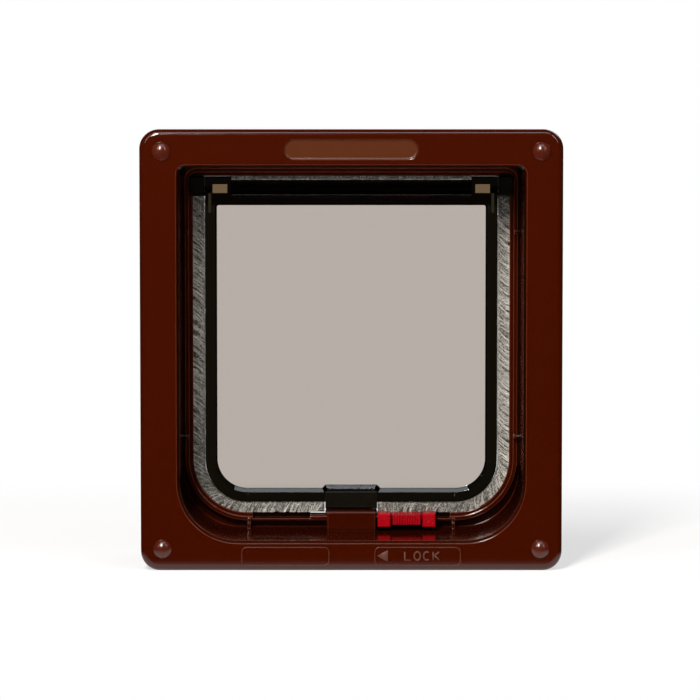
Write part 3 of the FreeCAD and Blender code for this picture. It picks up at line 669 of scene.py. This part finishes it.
screwPlaces = [makeCap("screw_cap_" + str(number)) for number in (1, 2, 3, 4)]
print("caps made")


# Screw threads over the shanks between the two flanges

thread = {"pitch": 0.7, "root": 1.96, "crest": 2.14, "start": -6.0, "end": 30.5,
          "stepsPerTurn": 6, "columns": 24}


# A sleeve whose radius is a helix: root + (crest - root) * ridge, where ridge is a triangle wave of
# depth / pitch - turn / 360 degrees
def makeThread(x, z):
    rows = int((thread["end"] - thread["start"]) / thread["pitch"] * thread["stepsPerTurn"])
    depth = np.linspace(thread["start"], thread["end"], rows)[:, None]
    turn = np.linspace(0, 2 * math.pi, thread["columns"] + 1)[:-1][None, :]
    phase = (depth / thread["pitch"] - turn / (2 * math.pi)) % 1.0
    ridge = 1 - np.abs(2 * phase - 1)
    fade = np.minimum(1.0, (depth - thread["start"]) / (2 * thread["pitch"]))
    radius = (thread["root"] + (thread["crest"] - thread["root"]) * ridge * fade) * mm
    points = np.stack([x + radius * np.cos(turn), np.broadcast_to(depth * mm, radius.shape),
                       z + radius * np.sin(turn)], axis=-1)
    columns = thread["columns"]
    faces = gridFaces(rows, columns, around=True)[:, ::-1].tolist()
    faces += [list(range(columns)), list(range((rows - 1) * columns, rows * columns))[::-1]]
    return points.reshape(-1, 3), faces


points, faces = joinMeshes([makeThread(x, z) for x, z in screwPlaces])
makePiece("screw_threads", points, faces, slotMaterials["screw_steel"], "frame")
print("threads made")


# Raised marks on the front frame: two label outlines, an arrow and the word LOCK. Sizes in millimetres,
# x from the middle and z from the lower edge.

marks = {"outlines": ((-51.5, -10.5), (11.1, 51.3)), "low": 2.7, "high": 11.1, "corner": 2.2,
         "lineWidth": 0.6, "lineRise": 0.34, "arrow": (12.0, 17.2, 4.2, 9.9), "arrowRise": 0.3,
         "word": (24.7, 41.8, 4.65, 9.4), "letterGap": 0.7, "strokeWidth": 0.85, "strokeRise": 0.35}


# A half-round ridge along a flat path on a face that looks to -Y. Round each path point stands a
# closed section: out = cos(t) * width / 2 along the path's normal, up = sin(t) * rise, for t from 0 to
# 180 degrees, and two feet sunk a little into the face.
def ridge(path, width, rise, ended, face):
    path = np.asarray(path, float) * mm
    if ended:
        along = np.vstack([path[1:], path[-1:]]) - np.vstack([path[:1], path[:-1]])
    else:
        along = np.roll(path, -1, axis=0) - np.roll(path, 1, axis=0)
    along /= np.linalg.norm(along, axis=1)[:, None]
    normal = np.stack([-along[:, 1], along[:, 0]], axis=-1)
    turn = np.linspace(0, math.pi, 7)
    out = np.concatenate([np.cos(turn), [-1.0, 1.0]]) * width * mm / 2
    up = np.concatenate([np.sin(turn) * rise, [-0.1, -0.1]]) * mm
    points = np.zeros((len(path), len(out), 3))
    points[:, :, 0] = path[:, 0:1] + normal[:, 0:1] * out
    points[:, :, 2] = path[:, 1:2] + normal[:, 1:2] * out
    points[:, :, 1] = face - up
    faces = gridFaces(len(path), len(out), around=True, ended=not ended).tolist()
    if ended:
        faces += endCaps(len(path), len(out))
    return points.reshape(-1, 3), faces


# Rounded rectangle as a path, eight steps to a corner
def roundedOutline(left, right, low, high, radius):
    path = []
    for x, z, start in ((right - radius, low + radius, -90), (right - radius, high - radius, 0),
                        (left + radius, high - radius, 90), (left + radius, low + radius, 180)):
        angle = np.radians(start + np.linspace(0, 90, 9))
        path.append(np.stack([x + radius * np.cos(angle), z + radius * np.sin(angle)], axis=-1))
    return np.vstack(path)


def arc(centreX, centreZ, radiusX, radiusZ, start, end, count):
    angle = np.radians(np.linspace(start, end, count))
    return np.stack([centreX + radiusX * np.cos(angle), centreZ + radiusZ * np.sin(angle)], axis=-1)


# The word's strokes, as one path each, from four equal letter cells
def wordStrokes():
    left, right, low, high = marks["word"]
    inset = marks["strokeWidth"] / 2
    cell = (right - left + marks["letterGap"]) / 4
    wide = cell - marks["letterGap"] - 2 * inset
    low, high = low + inset, high - inset
    x = [left + inset + index * cell for index in range(4)]
    middle = (low + high) / 2
    half = (high - low) / 2
    return [
        (np.array([(x[0], high), (x[0], low), (x[0] + wide, low)]), True),
        (arc(x[1] + wide / 2, middle, wide / 2, half, 0, 345, 24), False),
        (arc(x[2] + wide / 2, middle, wide / 2, half, 50, 310, 18), True),
        (np.array([(x[3], high), (x[3], low)]), True),
        (np.array([(x[3] + wide, high), (x[3] + 0.3, middle)]), True),
        (np.array([(x[3] + 0.25 * wide, middle + 0.2), (x[3] + wide, low)]), True),
    ]


# The arrow: a raised triangle that points to the left, its top face drawn in by its own rise
def makeArrow():
    left, right, low, high = marks["arrow"]
    rise = marks["arrowRise"]
    corners = np.array([(left, (low + high) / 2), (right, low), (right, high)])
    centre = corners.mean(axis=0)
    levels = []
    for share, depth in ((1.0, -0.1), (1.0, 0.0), (1 - 1.2 * rise / (right - left), rise)):
        flat = (centre + (corners - centre) * share) * mm
        levels.append(np.stack([flat[:, 0], np.full(3, frontFace - depth * mm), flat[:, 1]], axis=-1))
    faces = gridFaces(3, 3, around=True).tolist()
    return np.vstack(levels), faces + [[2, 1, 0], [6, 7, 8]]


pieces = []
for left, right in marks["outlines"]:
    outline = roundedOutline(left, right, marks["low"], marks["high"], marks["corner"])
    pieces.append(ridge(outline, marks["lineWidth"], marks["lineRise"], False, frontFace))
points, faces = joinMeshes(pieces)
makePiece("label_outlines", points, faces, slotMaterials["brown_plastic"], "frame")
pieces = []
for path, ended in wordStrokes():
    pieces.append(ridge(path, marks["strokeWidth"], marks["strokeRise"], ended, frontFace))
pieces.append(makeArrow())
points, faces = joinMeshes(pieces)
makePiece("front_marks", points, faces, glossPlastic("grained brown ABS", grainedAbs), "frame")
print("marks made")


# Two fine moulding lines across the flap's lower rim, where its corners begin

# Sizes in millimetres, heights from the flap's lower edge and the flap's thickness in its middle plane
seam = {"x": 49.8, "low": 2.0, "high": 4.6, "width": 0.34, "rise": 0.16, "thickness": 5.0}
flapFace = (flapLow.y + flapHigh.y) / 2 - seam["thickness"] / 2 * mm

pieces = []
for side in (1, -1):
    z = flapLow.z / mm
    hook = [(side * (seam["x"] - 0.5), z + seam["low"] - 0.2), (side * seam["x"], z + seam["low"] + 0.4),
            (side * seam["x"], z + seam["high"])]
    pieces.append(ridge(hook, seam["width"], seam["rise"], True, flapFace))
points, faces = joinMeshes(pieces)
makePiece("flap_seams", points, faces, slotMaterials["dark_plastic"], "flap")
print("seams made")


# A low ridge across the ring's floor behind the magnet holder, so that no light shows under the holder

lip = {"half": 12.3 * mm, "depth": (23.5 * mm, 24.8 * mm), "low": 21.4 * mm, "high": 22.65 * mm,
       "bevel": 0.25 * mm}


# A bar with two bevelled upper edges: a six-cornered section carried across
def makeLip():
    front, back = lip["depth"]
    bevel = lip["bevel"]
    section = np.array([(front, lip["low"]), (front, lip["high"] - bevel), (front + bevel, lip["high"]),
                        (back - bevel, lip["high"]), (back, lip["high"] - bevel), (back, lip["low"])])
    points = [np.column_stack([np.full(len(section), x), section]) for x in (-lip["half"], lip["half"])]
    faces = gridFaces(2, len(section), around=True)[:, ::-1].tolist()
    return np.vstack(points), faces + [list(range(6)), list(range(6, 12))[::-1]]


points, faces = makeLip()
makePiece("ring_sill_ridge", points, faces, slotMaterials["brown_plastic"], "frame")


# The mark of the mould's pin on the slide's right hand block
pinMark = {"x": 37.3 * mm, "z": 18.5 * mm, "radius": 0.6 * mm, "rise": 0.4 * mm, "rows": 5, "columns": 24}


# A flat dome: rings of radius * cos(a) at a rise of sin(a), on a ring sunk a little into the face
def makeMark(face):
    angle = np.linspace(0, 0.97 * math.pi / 2, pinMark["rows"])
    around = np.concatenate([[1.0], np.cos(angle)]) * pinMark["radius"]
    rise = np.concatenate([[-0.4], np.sin(angle)]) * pinMark["rise"]
    turn = np.linspace(0, 2 * math.pi, pinMark["columns"] + 1)[:-1]
    points = np.zeros((len(around), len(turn), 3))
    points[:, :, 0] = pinMark["x"] + around[:, None] * np.cos(turn)
    points[:, :, 2] = pinMark["z"] + around[:, None] * np.sin(turn)
    points[:, :, 1] = face - rise[:, None]
    faces = gridFaces(len(around), len(turn), around=True).tolist()
    return points.reshape(-1, 3), faces + endCaps(len(around), len(turn))


points, faces = makeMark(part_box("lock_slider")[0].y)
makePiece("slide_pin_mark", points, faces, slotMaterials["red_plastic"], "slide")
print("small marks made")


# Camera, lights and floor

camera = {"distance": 1.85, "elevation": 4.85, "aim": (-0.0006, -0.032, 0.1042), "halfView": 0.1638}
lamps = (
    # name, place, width and height in metres, watts, colour
    ("softbox left", (-0.42, -1.53, 1.3), (0.32, 0.8), 53, "#fffaf4"),
    ("strip light left", (-1.1, -1.3, 1.1), (0.07, 1.0), 4, "#ffffff"),
    ("strip light right", (1.1, -1.3, 1.1), (0.1, 1.0), 5, "#ffffff"),
    ("softbox top", (0.0, -0.8, 1.7), (1.5, 0.52), 8, "#f4f8ff"),
    ("softbox back", (0.9, 1.2, 1.2), (1.2, 0.5), 6, "#ffffff"),
)
sky = {"seen": 1.0, "ambient": 0.045, "mirrored": 0.02}
paper = {"white": 0.9, "glowNear": 0.6, "glowFar": 1.0, "glowFrom": 0.06, "glowTo": 0.3,
         "mirrorFrom": 0.012, "mirrorTo": 0.04, "reach": 4.0}


def makeCamera():
    data = bpy.data.cameras.new("camera")
    data.sensor_width = 36.0
    data.lens = 18.0 * camera["distance"] / camera["halfView"]
    data.clip_start = 0.05
    data.clip_end = 50.0
    view = bpy.data.objects.new("camera", data)
    scene.collection.objects.link(view)
    rise = math.radians(camera["elevation"])
    back = Vector((0, -math.cos(rise), math.sin(rise)))
    view.location = Vector(camera["aim"]) + back * camera["distance"]
    view.rotation_mode = "QUATERNION"
    view.rotation_quaternion = (-back).to_track_quat("-Z", "Y")
    scene.camera = view


def makeLamp(name, place, size, power, colour):
    data = bpy.data.lights.new(name, "AREA")
    data.shape = "RECTANGLE"
    data.size, data.size_y = size
    data.energy = power
    data.color = hexColour(colour)[:3]
    lamp = bpy.data.objects.new(name, data)
    scene.collection.objects.link(lamp)
    lamp.location = place
    lamp.rotation_mode = "QUATERNION"
    lamp.rotation_quaternion = (Vector((0, 0, 0.1)) - Vector(place)).to_track_quat("-Z", "Y")


# 1 where the camera looks, straight or through clear plastic
def seenStraight(tree, path):
    return calculate(tree, "MAXIMUM", path.outputs["Is Camera Ray"], path.outputs["Is Transmission Ray"])


# White to the camera, dim as ambient light and nearly dark in mirror images
def makeWorld():
    world = bpy.data.worlds.new("studio")
    scene.world = world
    world.use_nodes = True
    tree = world.node_tree
    tree.nodes.clear()
    path = addNode(tree, "ShaderNodeLightPath")
    unseen = addNode(tree, "ShaderNodeMix", {"data_type": "FLOAT", 2: sky["ambient"], 3: sky["mirrored"]},
                     {0: path.outputs["Is Glossy Ray"]})
    strength = addNode(tree, "ShaderNodeMix", {"data_type": "FLOAT", 3: sky["seen"]},
                       {0: seenStraight(tree, path), 2: unseen.outputs[0]})
    background = addNode(tree, "ShaderNodeBackground", {"Color": (1, 1, 1, 1)},
                         {"Strength": strength.outputs[0]})
    addNode(tree, "ShaderNodeOutputWorld", {}, {"Surface": background.outputs[0]})


# White paper: it glows a little where the camera looks, all of it far away, so that only the object's
# soft shadow shows. In mirror images it fades a short way from the object's footprint.
def makeFloor():
    mesh = bpy.data.meshes.new("floor")
    reach = paper["reach"]
    corners = [(-reach, -reach, 0), (reach, -reach, 0), (reach, reach, 0), (-reach, reach, 0)]
    mesh.from_pydata(corners, [], [(0, 1, 2, 3)])
    floor = bpy.data.objects.new("floor", mesh)
    scene.collection.objects.link(floor)
    material = bpy.data.materials.new("white paper")
    material.use_nodes = True
    tree = material.node_tree
    tree.nodes.clear()
    path = addNode(tree, "ShaderNodeLightPath")
    coordinates = addNode(tree, "ShaderNodeTexCoord").outputs["Object"]
    away = addNode(tree, "ShaderNodeVectorMath", {"operation": "ABSOLUTE"}, {0: coordinates})
    footprint = (flangeHigh.x, flangeHigh.y, 0.0)
    away = addNode(tree, "ShaderNodeVectorMath", {"operation": "SUBTRACT", 1: footprint}, {0: away.outputs[0]})
    away = addNode(tree, "ShaderNodeVectorMath", {"operation": "MAXIMUM", 1: (0, 0, 0)}, {0: away.outputs[0]})
    away = addNode(tree, "ShaderNodeVectorMath", {"operation": "LENGTH"}, {0: away.outputs[0]}).outputs["Value"]
    glow = addNode(tree, "ShaderNodeMapRange", {
        "From Min": paper["glowFrom"], "From Max": paper["glowTo"],
        "To Min": paper["glowNear"], "To Max": paper["glowFar"]}, {"Value": away}).outputs[0]
    share = calculate(tree, "MULTIPLY", glow, seenStraight(tree, path))
    mirrored = addNode(tree, "ShaderNodeMapRange", {
        "From Min": paper["mirrorFrom"], "From Max": paper["mirrorTo"],
        "To Min": paper["white"], "To Max": 0.0}, {"Value": away}).outputs[0]
    tone = addNode(tree, "ShaderNodeMix", {"data_type": "FLOAT", 2: paper["white"]},
                   {0: path.outputs["Is Glossy Ray"], 3: mirrored})
    dull = addNode(tree, "ShaderNodeBsdfDiffuse", {}, {"Color": tone.outputs[0]})
    bright = addNode(tree, "ShaderNodeEmission", {"Color": (1, 1, 1, 1), "Strength": 1.0})
    mixed = addNode(tree, "ShaderNodeMixShader", {}, {0: share, 1: dull.outputs[0], 2: bright.outputs[0]})
    addNode(tree, "ShaderNodeOutputMaterial", {}, {"Surface": mixed.outputs[0]})
    mesh.materials.append(material)


makeCamera()
makeWorld()
makeFloor()
for lamp in lamps:
    makeLamp(*lamp)
print("stage made")
